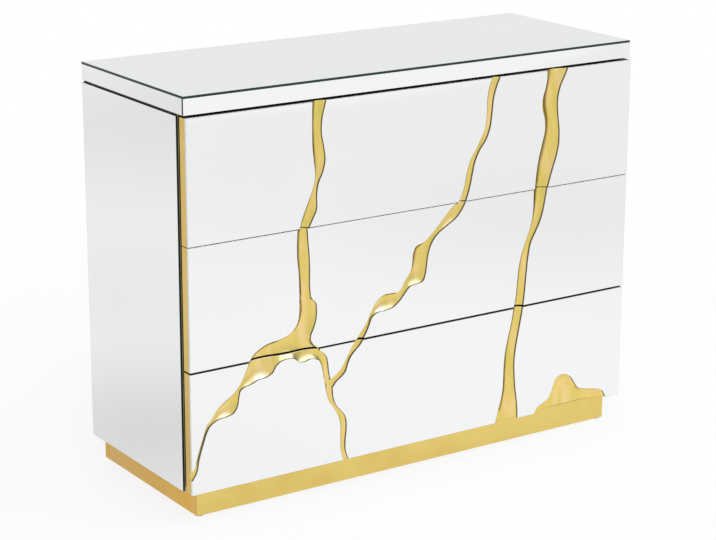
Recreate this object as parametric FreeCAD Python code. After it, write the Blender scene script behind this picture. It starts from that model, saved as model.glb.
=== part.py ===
import FreeCAD, Part
import math
import os
from FreeCAD import Placement, Rotation, Vector

# Mirrored chest of three push-to-open drawers, with gold veins carved through its fronts.
# Millimetres. The origin is on the floor under the middle of the chest: +X to the right as
# seen from the front, +Y to the back, +Z up.

# ---------------------------------------------------------------- driving dimensions
# Whole chest
width = 1000.0
depth = 385.0
height = 785.0

# Mirror glass and boards
glass = 4.0                  # every mirror sheet
glass_arris = 0.6            # ground edge of the top sheet
top_core = 30.0              # thickness of the top's board
side_board = 15.0
bottom_board = 15.0
back_panel = 5.0
back_rebate = 8.0            # how far the back laps onto each side board
rail_height = 15.0           # cross rails lie flat
rail_depth = 60.0
shadow_gap = 4.5             # side mirror stops this far under the top

# Plinth
glide_height = 3.0
glide_radius = 10.0
glide_inset = 10.5           # glide centre from the plinth's outer faces
glide_pin_radius = 2.0
glide_pin_length = 12.0
plinth_height = 50.0
plinth_board = 18.0
plinth_setback = 22.0        # front and sides, from the faces of the chest
plinth_back_setback = 6.0
corner_block = 32.0
corner_block_rise = 6.0      # block's underside above the plinth's

# Drawer fronts
front_count = 3
front_board = 18.0
front_inset = 1.0            # each end, from the sides of the chest
front_proud = 6.0            # fronts stand this far before the top
front_gaps = (3.5, 1.5)      # between one front and the next, from the lowest up
top_gap = 4.0                # between the top and the uppermost front
front_lift = 2.0             # lowest front above the plinth
push_gap = 10.0              # front board to carcass, room to push the drawer in

# Drawer boxes
box_board = 12.0
box_bottom = 5.0
box_height = 150.0
box_back_gap = 28.0          # box to back panel
box_rise = 27.0              # box above the lower edge of its front
groove_depth = 5.0           # for the box bottom
groove_rise = 12.0
groove_clearance = 0.5

# Telescopic runners
runner_width = 12.7          # side board to box side
runner_height = 45.0
runner_sheet = 1.2
runner_clearance = 0.3       # between one channel and the next
runner_lip = 1.6
runner_back_gap = 2.0        # fixed channel to back panel
runner_tail = 50.0           # fixed channel behind the other two, for the rebound unit
runner_setback = 2.0         # behind the carcass's front edge
runner_rise = 55.0           # centre line above the box's lower edge
runner_mouth = 3.1           # fixed channel's lips to the box side
tail_tab_half = 12.0
drawer_push = 3.0            # travel inwards that releases the drawer
unit_length = 36.0
plunger_radius = 3.5
plunger_length = 8.0

# Screws
carcass_screw_length = 40.0
carcass_screw_radius = 2.5
screw_sides = 6              # screws and pins are drawn with few sides
front_screw_length = 25.0
front_screw_radius = 2.0
front_screw_rise = 90.0      # above the box's lower edge
front_screw_inset = 56.0     # outer screws, from the inside of the box
runner_screw_length = 12.0
runner_screw_radius = 1.75
runner_screw_inset = 37.0    # from the front of the channels
runner_screw_tail = 39.0     # from the back of the drawer's channel

# ---------------------------------------------------------------- veins
# The glass of each front is cut to the same paper template as the grooves behind it. The
# template is ruled into columns and rows, stretched over the whole front.
# A vein is a row of stations from one end to the other. Each station gives the two banks,
# (across, down) from the front's upper left corner, and the depth of the groove between
# them, as a share of a full groove. Banks that lie off the front carry the vein past its edge.
template_columns = 1000
template_rows = 229
full_groove = 10.0
straight_enough = 0.02       # a bank that bulges less than this is a line

# A groove's section, from bank to bank: (part of its width, part of its depth).
GROOVE_SHAPE = ((0.15, 0.8), (0.5, 1.0), (0.85, 0.8))

TOP_VEINS = {
    "left": (
        ((259, -4), (289, -4), 0.8), ((258.5, 12), (284.5, 12), 0.8),
        ((258.3, 32), (279.5, 32), 0.75), ((258.3, 58), (278.2, 58), 0.75),
        ((259, 84), (283, 84), 0.8), ((261.8, 108), (286, 108), 0.85),
        ((264.2, 130), (281, 130), 0.8), ((262, 150), (271.5, 150), 0.65),
        ((254.5, 170), (268, 170), 0.65), ((242, 198), (267, 200), 0.75),
        ((235.5, 214), (259, 215), 0.8), ((230, 234), (249, 234), 0.8),
    ),
    "middle": (
        ((662, -4), (681, -4), 0.7), ((654, 13), (672.5, 13), 0.7),
        ((649.2, 36), (665, 36), 0.65), ((648.2, 66), (661.4, 66), 0.6),
        ((645, 93), (657.2, 95), 0.55), ((636, 112), (648.5, 116), 0.55),
        ((623.5, 133), (633, 136), 0.55), ((610.5, 154), (622.5, 158), 0.6),
        ((603.5, 176), (617.8, 178), 0.65), ((598.5, 200), (612.5, 202), 0.65),
        ((592, 218), (607.5, 218), 0.7), ((584, 234), (601.5, 234), 0.7),
    ),
    "right": (
        ((791, -4), (844, -4), 0.9), ((791.8, 12), (835.5, 13), 0.9),
        ((788.5, 31), (825, 33), 0.85), ((782, 53), (819.3, 58), 0.85),
        ((782.5, 74), (819.6, 76), 0.85), ((788.5, 95), (822, 96), 0.85),
        ((789, 118), (825.3, 122), 0.9), ((783.5, 140), (825, 146), 0.9),
        ((776.5, 167), (819.8, 170), 0.9), ((772, 193), (811.5, 194), 0.9),
        ((769.8, 214), (804.5, 216), 0.85), ((768.6, 234), (799.6, 234), 0.85),
    ),
}

MIDDLE_VEINS = {
    "left": (
        ((227, -4), (247.3, -4), 0.75), ((225.3, 24), (249, 24), 0.75),
        ((225.6, 52), (251.7, 52), 0.8), ((228.6, 82), (252.6, 82), 0.75),
        ((229.7, 110), (252.8, 112), 0.75), ((229.8, 132), (256, 132), 0.75),
        ((229.8, 144), (265.5, 143), 0.8), ((229, 160), (267.3, 158), 0.85),
        ((224, 178), (265, 179), 0.9), ((211, 191), (259, 194), 0.9),
        ((190, 199), (254.5, 204), 0.9), ((166, 202), (254.3, 212), 0.9),
        ((146, 209), (258.5, 220), 0.9), ((131, 219), (265, 226.5), 0.9),
        ((120, 235), (276, 235), 0.9),
    ),
    "middle": (
        ((592, -6), (604.5, -5), 0.6), ((575, 4), (601, 3), 0.7), ((560, 16), (594, 14.5), 0.8),
        ((547, 29.5), (580, 29), 0.75), ((534, 42), (561, 40), 0.65), ((521, 54), (542, 51), 0.65),
        ((506, 65), (528, 64.5), 0.7), ((487.5, 71), (520, 80), 0.85), ((481.6, 84), (515.8, 96), 0.9),
        ((480, 102), (513.6, 114), 0.9), ((476.3, 117), (511, 128), 0.9),
        ((470, 126), (506, 140), 0.9), ((462.5, 135), (491, 143.6), 0.8),
        ((456.5, 146), (477, 146), 0.7), ((449, 152), (464, 158), 0.7),
        ((434, 152.4), (453, 170), 0.8), ((417, 152.8), (438, 180), 0.85),
        ((403, 159.5), (419, 183.6), 0.8), ((393.5, 171), (400, 185.5), 0.65),
        ((386, 184), (390, 192), 0.55), ((377, 201), (383.5, 206), 0.6),
        ((364, 217), (375.5, 222), 0.65), ((352, 233), (366, 235), 0.65),
    ),
    "right": (
        ((766, -4), (800, -4), 0.85), ((766.4, 18), (795.8, 18), 0.85),
        ((765.9, 42), (791.2, 42), 0.8), ((762.5, 64), (784, 64), 0.75),
        ((755.5, 84), (773.5, 84), 0.7), ((747, 105), (762.2, 105), 0.65),
        ((739, 128), (757.4, 128), 0.65), ((733.3, 155), (754.3, 155), 0.7),
        ((730.7, 185), (751.9, 185), 0.7), ((728.5, 209), (749.8, 209), 0.7),
        ((723.5, 234), (747, 234), 0.7),
    ),
}

BOTTOM_VEINS = {
    "far_left": (
        ((274, -14), (274, 22), 0.7), ((257, -14), (256, 16), 0.7), ((241, -14), (241, 18.8), 0.75),
        ((228, -14), (230, 18), 0.75), ((215, -14), (217, 8.8), 0.7), ((199, -14), (204, 7), 0.7),
        ((179, -14), (190, 9.5), 0.75), ((156, -14), (180, 16), 0.8), ((136, -12), (172, 27.5), 0.9),
        ((123.5, -5), (158, 33.8), 0.9), ((119, 6), (141, 35.6), 0.9), ((113.5, 17), (126, 41), 0.8),
        ((108, 28), (113, 43.8), 0.65), ((99.5, 40.5), (104, 49), 0.55), ((89, 51), (100.6, 61), 0.65),
        ((77.5, 59), (97.8, 76), 0.8), ((66, 66), (90, 88), 0.85), ((56, 73.5), (75, 92.8), 0.8),
        ((48.5, 82.3), (60, 94.2), 0.65), ((42, 91.5), (48, 98.4), 0.5), ((34, 99), (39, 105), 0.45),
        ((28, 112.5), (32.5, 115.5), 0.45), ((22, 129), (26.5, 131.5), 0.5),
        ((15.5, 146.5), (20.5, 148.5), 0.5), ((10.3, 163), (15.4, 166), 0.55),
        ((6.3, 178), (11.8, 184), 0.6), ((-5, 187), (-5, 210), 0.6),
    ),
    "left": (
        ((240, -14), (263, -14), 0.65), ((250, 0), (271, 0.5), 0.65), ((261, 12.5), (281, 8.5), 0.65),
        ((268.5, 18), (288.5, 17.5), 0.65), ((274.8, 27), (292, 32), 0.65),
        ((279, 41), (294, 50), 0.65), ((282, 57), (298, 66), 0.65), ((285, 72), (301.4, 80), 0.65),
        ((288.2, 90), (302.8, 97), 0.6), ((294, 106), (309, 115.5), 0.6),
        ((305, 122), (319.5, 128.5), 0.6), ((313.8, 137.5), (328.5, 139.5), 0.65),
        ((318.2, 151), (332.5, 152), 0.65), ((319.6, 168), (333.1, 168), 0.65),
        ((319.3, 188), (331, 188), 0.65), ((320, 207), (330.8, 208), 0.65),
        ((327.5, 235), (339.5, 235), 0.65),
    ),
    "branch": (
        ((354, -5), (373, -5), 0.65), ((345.8, 6.5), (363.5, 8), 0.65), ((339, 17.8), (353, 17), 0.65),
        ((333, 28), (343.2, 27), 0.6), ((326.6, 38.5), (336, 40.5), 0.6),
        ((318, 49.4), (331, 54), 0.6), ((308.5, 56.5), (322.5, 62.5), 0.6),
        ((299.5, 63), (311, 70), 0.6), ((292, 70), (302.5, 80), 0.6),
    ),
    "middle": (
        ((724, -4), (747.6, -4), 0.75), ((721, 17), (744, 17), 0.75), ((716, 40), (739.5, 40), 0.75),
        ((709.8, 64), (734.8, 64), 0.8), ((705.3, 88), (730.8, 88), 0.8),
        ((703.1, 110), (729, 110), 0.8), ((702.3, 136), (730, 136), 0.8),
        ((701.5, 158), (732, 158), 0.8), ((698, 180), (735.2, 180), 0.85),
        ((692.5, 200), (738.4, 200), 0.9), ((683, 234), (740, 234), 0.9),
    ),
    "pool": (
        ((780, 240), (780, 262), 0.3), ((785, 223), (785, 262), 0.65), ((791, 215.5), (791, 262), 0.75),
        ((803, 210.3), (803, 262), 0.85), ((816, 203.5), (816, 262), 0.9),
        ((824, 191), (824, 262), 0.9), ((829, 177.5), (829, 262), 0.9),
        ((835, 164.5), (835, 262), 0.9), ((848, 158.5), (848, 262), 0.9),
        ((862, 161.2), (862, 262), 0.9), ((874, 168.8), (874, 262), 0.9),
        ((884, 183), (884, 262), 0.9), ((894, 194.6), (894, 262), 0.9),
        ((908, 199.7), (908, 262), 0.9), ((928, 203.6), (928, 262), 0.9),
        ((946, 207.8), (946, 262), 0.85), ((958, 214), (958, 262), 0.8),
        ((965, 225), (965, 262), 0.65), ((969, 240), (969, 262), 0.3),
    ),
}

# ---------------------------------------------------------------- places worked out from them
half_width = width / 2
front_face = -depth / 2
back_face = depth / 2
carcass_base = glide_height + plinth_height
top_underside = height - glass - top_core

top_face = front_face + front_proud                   # front edge of the top
board_face = front_face + glass                       # front boards, behind the glass
board_back = board_face + front_board
front_half = half_width - front_inset
carcass_front = board_back + push_gap
carcass_half = half_width - glass                     # outside of the side boards
inner_half = carcass_half - side_board
back_inside = back_face - back_panel

fronts_bottom = carcass_base + front_lift
fronts_span = top_underside - top_gap - fronts_bottom
front_height = (fronts_span - sum(front_gaps)) / front_count

box_half = inner_half - runner_width
box_inner_half = box_half - box_board
box_front_y = board_back
box_back_y = back_inside - box_back_gap

runner_front = carcass_front + runner_setback
runner_length = back_inside - runner_back_gap - runner_front
runner_inner_length = runner_length - runner_tail
runner_screw_places = (runner_screw_inset, runner_inner_length - runner_screw_tail)

DRAWERS = (
    ("bottom_drawer", 0, BOTTOM_VEINS),
    ("middle_drawer", 1, MIDDLE_VEINS),
    ("top_drawer", 2, TOP_VEINS),
)


# ---------------------------------------------------------------- helpers
def block(x0, x1, y0, y1, z0, z1):
    """A box between two corners."""
    return Part.makeBox(x1 - x0, y1 - y0, z1 - z0, Vector(x0, y0, z0))


def front_base(row):
    """Lower edge of a drawer front, counted from the lowest."""
    return fronts_bottom + row * front_height + sum(front_gaps[:row])


def cut_all(shape, cutters):
    """The shape less each cutter, with faces that became coplanar joined."""
    return shape.cut(Part.makeCompound(cutters)).removeSplitter()


def mirrored(shape):
    """The shape's twin on the other side of the chest."""
    return shape.mirror(Vector(0, 0, 0), Vector(1, 0, 0))


def export(name, *shapes):
    """One STEP file for one named node, from one solid or a group of separate ones."""
    solids = [solid for shape in shapes for solid in shape.Solids]
    whole = solids[0] if len(solids) == 1 else Part.makeCompound(solids)
    whole.exportStep("parts/" + name + ".step")


def arc_through(first, middle, last):
    """An arc through three points, or a line where they are in line."""
    chord = last - first
    bulge = (middle - first).cross(chord).Length / chord.Length
    if bulge < straight_enough:
        return Part.makeLine(first, last)
    return Part.Arc(first, middle, last).toShape()


def ring(radius, along):
    """A regular outline of few sides about the Z axis."""
    turn = 2 * math.pi / screw_sides
    corners = [
        Vector(radius * math.cos(side * turn), radius * math.sin(side * turn), along)
        for side in range(screw_sides)
    ]
    return Part.makePolygon(corners + corners[:1])


def pin(foot, direction, *outlines):
    """A stepped pin from (radius, along) outlines: it starts at its foot, along the direction."""
    solid = Part.makeLoft([ring(radius, along) for radius, along in outlines], True, True)
    solid.Placement = Placement(foot, Rotation(Vector(0, 0, 1), direction))
    return solid


def screw(head, direction, length, radius):
    """A countersunk screw: its flat head is at the point, and its shank lies along the direction."""
    head_radius = 1.9 * radius
    head_height = head_radius - radius
    return pin(head, direction, (head_radius, 0), (radius, head_height), (radius, length))


# ---------------------------------------------------------------- carcass
def rail_levels():
    """Undersides of the cross rails: one under the top, one behind each gap between fronts."""
    levels = [top_underside - rail_height]
    for row in range(1, front_count):
        middle = front_base(row) - front_gaps[row - 1] / 2
        levels.append(middle - rail_height / 2)
    return levels


def rail(y0, z0):
    """A flat board between the side boards."""
    return block(-inner_half, inner_half, y0, y0 + rail_depth, z0, z0 + rail_height)


def side_screws():
    """Screws through the left side board into the bottom board and the ends of the rails."""
    along = Vector(1, 0, 0)
    rail_y = carcass_front + rail_depth / 2
    rear_rail_y = back_inside - rail_depth / 2
    places = [(y, carcass_base + bottom_board / 2) for y in (rail_y, 0, rear_rail_y)]
    places += [(rail_y, level + rail_height / 2) for level in rail_levels()]
    places.append((rear_rail_y, top_underside - rail_height / 2))
    return [
        screw(Vector(-carcass_half, y, z), along, carcass_screw_length, carcass_screw_radius)
        for y, z in places
    ]


def top_screws():
    """Screws up through the front and rear top rails into the top."""
    up = Vector(0, 0, 1)
    level = top_underside - rail_height
    rows = (carcass_front + rail_depth / 2, back_inside - rail_depth / 2)
    return [
        screw(Vector(x, y, level), up, carcass_screw_length, carcass_screw_radius)
        for x in (-inner_half / 2, inner_half / 2)
        for y in rows
    ]


def make_carcass():
    """Boards, back and rails, and the screws that hold them."""
    left_screws = side_screws()
    right_screws = [mirrored(one) for one in left_screws]
    across_screws = left_screws + right_screws
    up_screws = top_screws()
    runner_holes = runner_screws()

    side = block(-carcass_half, -inner_half, carcass_front, back_face, carcass_base, top_underside)
    rebate = block(-inner_half - back_rebate, -inner_half, back_inside, back_face,
                   carcass_base, top_underside)
    left_side = cut_all(side, [rebate] + left_screws + runner_holes)
    export("side_board_left", left_side)
    export("side_board_right", mirrored(left_side))

    floor = block(-inner_half, inner_half, carcass_front, back_inside,
                  carcass_base, carcass_base + bottom_board)
    export("bottom_board", cut_all(floor, across_screws))

    back_half = inner_half + back_rebate
    export("back_panel", block(-back_half, back_half, back_inside, back_face,
                               carcass_base, top_underside))

    rails = [rail(carcass_front, level) for level in rail_levels()]
    rails.append(rail(back_inside - rail_depth, top_underside - rail_height))
    export("cross_rails", *[cut_all(one, across_screws + up_screws) for one in rails])

    core = block(-carcass_half, carcass_half, top_face + glass, back_face,
                 top_underside, top_underside + top_core)
    export("top_board", cut_all(core, up_screws))
    export("carcass_screws", *across_screws, *up_screws)


def make_mirrors():
    """The mirror glass on the top, on the top's edges and on the sides."""
    sheet = block(-half_width, half_width, top_face, back_face, height - glass, height)
    upper_edges = [edge for edge in sheet.Edges
                   if all(abs(vertex.Z - height) < glass_arris for vertex in edge.Vertexes)]
    export("top_mirror", sheet.makeChamfer(glass_arris, upper_edges))

    front_strip = block(-half_width, half_width, top_face, top_face + glass,
                        top_underside, height - glass)
    side_strip = block(-half_width, -carcass_half, top_face + glass, back_face,
                       top_underside, height - glass)
    export("top_edge_mirrors", front_strip, side_strip, mirrored(side_strip))

    side_mirror = block(-half_width, -carcass_half, carcass_front, back_face,
                        carcass_base, top_underside - shadow_gap)
    export("side_mirror_left", side_mirror)
    export("side_mirror_right", mirrored(side_mirror))


# ---------------------------------------------------------------- plinth
def glide(x, y):
    """A round glide, and the pin that is driven into the plinth."""
    disc = Part.makeCylinder(glide_radius, glide_height, Vector(x, y, 0))
    nail = pin(Vector(x, y, 0), Vector(0, 0, 1),
               (glide_pin_radius, glide_height / 2),
               (glide_pin_radius, glide_height + glide_pin_length))
    return disc.fuse(nail).removeSplitter()


def make_plinth():
    """Four boards, glued blocks in the corners, and a glide under each corner."""
    outer_half = half_width - plinth_setback
    y_front = front_face + plinth_setback
    y_back = back_face - plinth_back_setback
    z0 = glide_height
    z1 = carcass_base

    glide_x = outer_half - glide_inset
    glides = [glide(x, y) for x in (-glide_x, glide_x)
              for y in (y_front + glide_inset, y_back - glide_inset)]
    export("glides", *glides)

    front = block(-outer_half, outer_half, y_front, y_front + plinth_board, z0, z1)
    export("plinth_front", cut_all(front, glides))
    back = block(-outer_half, outer_half, y_back - plinth_board, y_back, z0, z1)
    export("plinth_back", cut_all(back, glides))

    left = block(-outer_half, -outer_half + plinth_board,
                 y_front + plinth_board, y_back - plinth_board, z0, z1)
    export("plinth_left", left)
    export("plinth_right", mirrored(left))

    inner_x = outer_half - plinth_board
    blocks = []
    for y, turn in ((y_front + plinth_board, 1), (y_back - plinth_board, -1)):
        corner = Vector(-inner_x, y, z0 + corner_block_rise)
        outline = Part.makePolygon([
            corner,
            corner + Vector(corner_block, 0, 0),
            corner + Vector(corner_block, turn * corner_block / 3, 0),
            corner + Vector(corner_block / 3, turn * corner_block, 0),
            corner + Vector(0, turn * corner_block, 0),
            corner,
        ])
        wedge = Part.Face(outline).extrude(Vector(0, 0, plinth_height - corner_block_rise))
        blocks += [wedge, mirrored(wedge)]
    export("plinth_corner_blocks", *blocks)


# ---------------------------------------------------------------- runners
# A runner's section is drawn on (across, up): across from the left side board's inner face
# towards the box, up from the runner's centre line.
def drawer_base(row):
    """Lower edge of a drawer's box."""
    return front_base(row) + box_rise


def runner_level(row):
    """Height of a runner's centre line."""
    return drawer_base(row) + runner_rise


def strip_section(points, level):
    """A closed wire in the runner's section, mirrored about the centre line."""
    lower = [(across, -up) for across, up in reversed(points)]
    ring = [Vector(-inner_half + across, 0, level + up) for across, up in points + lower]
    return Part.makePolygon(ring + ring[:1])


def extrusion(section, y0, length):
    """A straight channel from its section."""
    face = Part.Face(section)
    solid = face.extrude(Vector(0, length, 0))
    solid.translate(Vector(0, y0, 0))
    return solid


def lipped_channel(inset, level, y0, length):
    """A channel that opens towards the box, with lips turned inwards, inset in the one before."""
    step = runner_sheet + runner_clearance
    web = inset * step
    reach = runner_width - runner_mouth - inset * step
    high = runner_height / 2 - inset * step
    lip_low = high - runner_sheet - runner_lip
    points = [
        (web, high),
        (reach, high),
        (reach, lip_low),
        (reach - runner_sheet, lip_low),
        (reach - runner_sheet, high - runner_sheet),
        (web + runner_sheet, high - runner_sheet),
    ]
    return extrusion(strip_section(points, level), y0, length)


def hat_channel(level, y0, length):
    """The drawer's channel: a hat whose brims run behind the lips of the intermediate one."""
    step = runner_sheet + runner_clearance
    mouth = runner_height / 2 - step - runner_sheet - runner_lip
    wall = mouth - runner_clearance
    brim_reach = runner_width - runner_mouth - step - step
    brim_high = runner_height / 2 - 2 * step
    points = [
        (brim_reach - runner_sheet, brim_high),
        (brim_reach, brim_high),
        (brim_reach, wall),
        (runner_width, wall),
    ]
    inner = [
        (runner_width - runner_sheet, wall - runner_sheet),
        (brim_reach - runner_sheet, wall - runner_sheet),
    ]
    upper = [(across, up) for across, up in points]
    lower = [(across, -up) for across, up in reversed(points)]
    hollow = [(across, -up) for across, up in reversed(inner)] + inner
    ring = [Vector(-inner_half + across, 0, level + up) for across, up in upper + lower + hollow]
    channel = extrusion(Part.makePolygon(ring + ring[:1]), y0, length)
    tab = block(-inner_half + brim_reach, -inner_half + runner_width - runner_sheet / 2,
                y0 + length - runner_sheet, y0 + length, level - tail_tab_half, level + tail_tab_half)
    return channel.fuse(tab).removeSplitter()


def rebound_unit(level):
    """The push-to-open block in the tail of a fixed channel, with its spring plunger."""
    step = runner_sheet + runner_clearance
    tail = runner_front + runner_inner_length
    face = tail + drawer_push + runner_clearance + plunger_length
    high = runner_height / 2 - step - runner_lip
    body = block(-inner_half + runner_sheet, -inner_half + runner_width - runner_mouth,
                 face, face + unit_length, level - high, level + high)
    plunger = pin(
        Vector(-inner_half + runner_width - runner_mouth - plunger_radius - runner_sheet / 2,
               face - plunger_length, level),
        Vector(0, 1, 0),
        (plunger_radius, 0), (plunger_radius, plunger_length + unit_length / 2))
    return body.fuse(plunger).removeSplitter()


def runner_screws():
    """Screws that hold the left fixed channels to the side board."""
    out = Vector(-1, 0, 0)
    return [
        screw(Vector(-inner_half + runner_sheet, runner_front + place, runner_level(row)), out,
              runner_screw_length, runner_screw_radius)
        for row in range(front_count)
        for place in runner_screw_places
    ]


def box_runner_screws(row):
    """Screws that hold a drawer's left channel to the side of its box."""
    return [
        screw(Vector(-box_half - runner_sheet, runner_front + place, runner_level(row)),
              Vector(1, 0, 0), runner_screw_length, runner_screw_radius)
        for place in runner_screw_places
    ]


def make_fixed_runners():
    """The fixed channels, their screws and their rebound units, on both sides of the carcass."""
    screws = runner_screws()
    channels = [
        cut_all(lipped_channel(0, runner_level(row), runner_front, runner_length), screws)
        for row in range(front_count)
    ]
    units = [rebound_unit(runner_level(row)) for row in range(front_count)]
    export("runner_cabinet_members", *channels, *[mirrored(one) for one in channels])
    export("runner_rebound_units", *units, *[mirrored(one) for one in units])
    export("runner_screws", *screws, *[mirrored(one) for one in screws])


# ---------------------------------------------------------------- veins
def on_front(point, row, y):
    """A template point on a drawer front, at the given depth."""
    across, down = point
    x = -front_half + across * 2 * front_half / template_columns
    top = front_base(row) + front_height
    return Vector(x, y, top - down * front_height / template_rows)


def bank(points):
    """One bank of a vein: an arc through every three points, and a line to a point left over."""
    edges = [arc_through(*points[start:start + 3]) for start in range(0, len(points) - 2, 2)]
    if len(points) % 2 == 0:
        edges.append(Part.makeLine(points[-2], points[-1]))
    return edges


def vein_outline(stations, row):
    """A prism of the vein's outline, which takes the vein out of the glass."""
    y = front_face - glass / 2
    first = [on_front(station[0], row, y) for station in stations]
    second = [on_front(station[1], row, y) for station in stations]
    ends = [Part.makeLine(first[0], second[0]), Part.makeLine(first[-1], second[-1])]
    outline = Part.Wire(Part.sortEdges(bank(first) + bank(second) + ends)[0])
    return Part.Face(outline).extrude(Vector(0, 2 * glass, 0))


def vein_section(station, row):
    """A groove's section between its banks: a blunt trough, open in front of the board."""
    first, second, share = station
    start = on_front(first, row, board_face)
    span = on_front(second, row, board_face) - start
    proud = Vector(0, -glass / 4, 0)
    points = [start + proud]
    deepest = Vector(0, share * full_groove, 0)
    points += [start + span * part + deepest * fall for part, fall in GROOVE_SHAPE]
    points.append(start + span + proud)
    return Part.makePolygon(points + points[:1])


def vein_groove(stations, row):
    """The groove of a whole vein, lofted straight from each section to the next."""
    return Part.makeLoft([vein_section(station, row) for station in stations], True, True)


# ---------------------------------------------------------------- drawers
def make_front(name, row, veins, screws):
    """A drawer's front: the carved gold board, and the panes of mirror glass over it."""
    z0 = front_base(row)
    z1 = z0 + front_height
    board = block(-front_half, front_half, board_face, board_back, z0, z1)
    for stations in veins.values():
        board = board.cut(vein_groove(stations, row))
    export(name + "_front_board", cut_all(board, screws))

    sheet = block(-front_half, front_half, front_face, board_face, z0, z1)
    for stations in veins.values():
        sheet = sheet.cut(vein_outline(stations, row))
    panes = sorted(sheet.Solids, key=lambda pane: pane.CenterOfMass.x)
    for number, pane in enumerate(panes, 1):
        export(name + "_pane_" + str(number), pane)


def front_screws(row):
    """Screws through the box front into the front board, clear of the veins."""
    outer = box_inner_half - front_screw_inset
    z = drawer_base(row) + front_screw_rise
    return [
        screw(Vector(x, box_front_y + box_board, z), Vector(0, -1, 0),
              front_screw_length, front_screw_radius)
        for x in (-outer, -outer / 4, outer / 4, outer)
    ]


def make_box(name, row, screws, side_holes):
    """A drawer's box: four boards grooved for the bottom, and the bottom."""
    z0 = drawer_base(row)
    z1 = z0 + box_height
    panel_half = box_inner_half + groove_depth
    groove = block(-panel_half, panel_half,
                   box_front_y + box_board - groove_depth, box_back_y - box_board + groove_depth,
                   z0 + groove_rise, z0 + groove_rise + box_bottom)

    left = block(-box_half, -box_inner_half, box_front_y, box_back_y, z0, z1)
    left = cut_all(left, [groove] + side_holes)
    export(name + "_box_side_left", left)
    export(name + "_box_side_right", mirrored(left))

    front = block(-box_inner_half, box_inner_half, box_front_y, box_front_y + box_board, z0, z1)
    export(name + "_box_front", cut_all(front, [groove] + screws))
    back = block(-box_inner_half, box_inner_half, box_back_y - box_board, box_back_y, z0, z1)
    export(name + "_box_back", cut_all(back, [groove]))

    limits = groove.BoundBox
    export(name + "_box_bottom", block(
        limits.XMin + groove_clearance, limits.XMax - groove_clearance,
        limits.YMin + groove_clearance, limits.YMax - groove_clearance,
        limits.ZMin, limits.ZMax))


def make_drawer(name, row, veins):
    """Everything that slides with one drawer, and its intermediate channels."""
    screws = front_screws(row)
    side_screws_left = box_runner_screws(row)
    make_front(name, row, veins, screws)
    make_box(name, row, screws, side_screws_left)

    level = runner_level(row)
    hat = cut_all(hat_channel(level, runner_front, runner_inner_length), side_screws_left)
    export(name + "_runner_members", hat, mirrored(hat))
    middle = lipped_channel(1, level, runner_front, runner_inner_length)
    export(name + "_runner_middles", middle, mirrored(middle))
    export(name + "_screws", *screws, *side_screws_left, *[mirrored(one) for one in side_screws_left])


os.makedirs("parts", exist_ok=True)
make_carcass()
make_mirrors()
make_plinth()
make_fixed_runners()
for drawer_name, drawer_row, drawer_veins in DRAWERS:
    make_drawer(drawer_name, drawer_row, drawer_veins)
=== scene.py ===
import math

import bmesh
import bpy
import numpy as np
from bpy.props import FloatProperty, FloatVectorProperty, IntProperty, PointerProperty
from mathutils import Matrix, Vector


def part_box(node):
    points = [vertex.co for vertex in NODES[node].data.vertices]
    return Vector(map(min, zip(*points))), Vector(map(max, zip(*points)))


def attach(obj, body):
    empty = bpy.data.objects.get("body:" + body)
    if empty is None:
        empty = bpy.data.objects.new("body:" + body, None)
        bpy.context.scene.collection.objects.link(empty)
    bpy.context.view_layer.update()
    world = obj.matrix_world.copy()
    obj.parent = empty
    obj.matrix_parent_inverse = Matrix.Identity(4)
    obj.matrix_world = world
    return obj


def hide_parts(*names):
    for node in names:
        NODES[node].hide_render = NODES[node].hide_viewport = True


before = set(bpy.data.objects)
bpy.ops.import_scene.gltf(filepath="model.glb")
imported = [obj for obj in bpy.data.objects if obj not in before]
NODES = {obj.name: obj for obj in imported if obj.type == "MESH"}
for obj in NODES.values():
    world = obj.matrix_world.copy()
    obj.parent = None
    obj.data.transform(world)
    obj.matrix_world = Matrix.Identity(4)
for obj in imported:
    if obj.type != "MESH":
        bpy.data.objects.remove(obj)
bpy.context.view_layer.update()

bl_info = {
    "name": "Gold-Veined Mirror Chest",
    "version": (1, 0, 0),
    "blender": (4, 5, 0),
    "location": "View3D > Sidebar > Chest",
    "description": "Dresses a mirrored chest of three drawers with carved gold veins",
    "category": "Object",
}

# Metres. The frame's origin is on the floor under the middle of the chest: +X to the right as
# seen from the front, +Y to the back, +Z up.

# ---- what the frame gives
MM = 0.001

# The drawers from the bottom up: each is a body of the frame and a key of VEINS.
DRAWERS = ("bottom_drawer", "middle_drawer", "top_drawer")

# ---- the veins' template
# The same paper template as the grooves of the solids: ruled into columns and rows that are
# stretched over the whole front. A vein is a row of stations, and each station gives its two
# banks, (across, down) from the front's upper left corner.
TEMPLATE_COLUMNS = 1000
TEMPLATE_ROWS = 229

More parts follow.
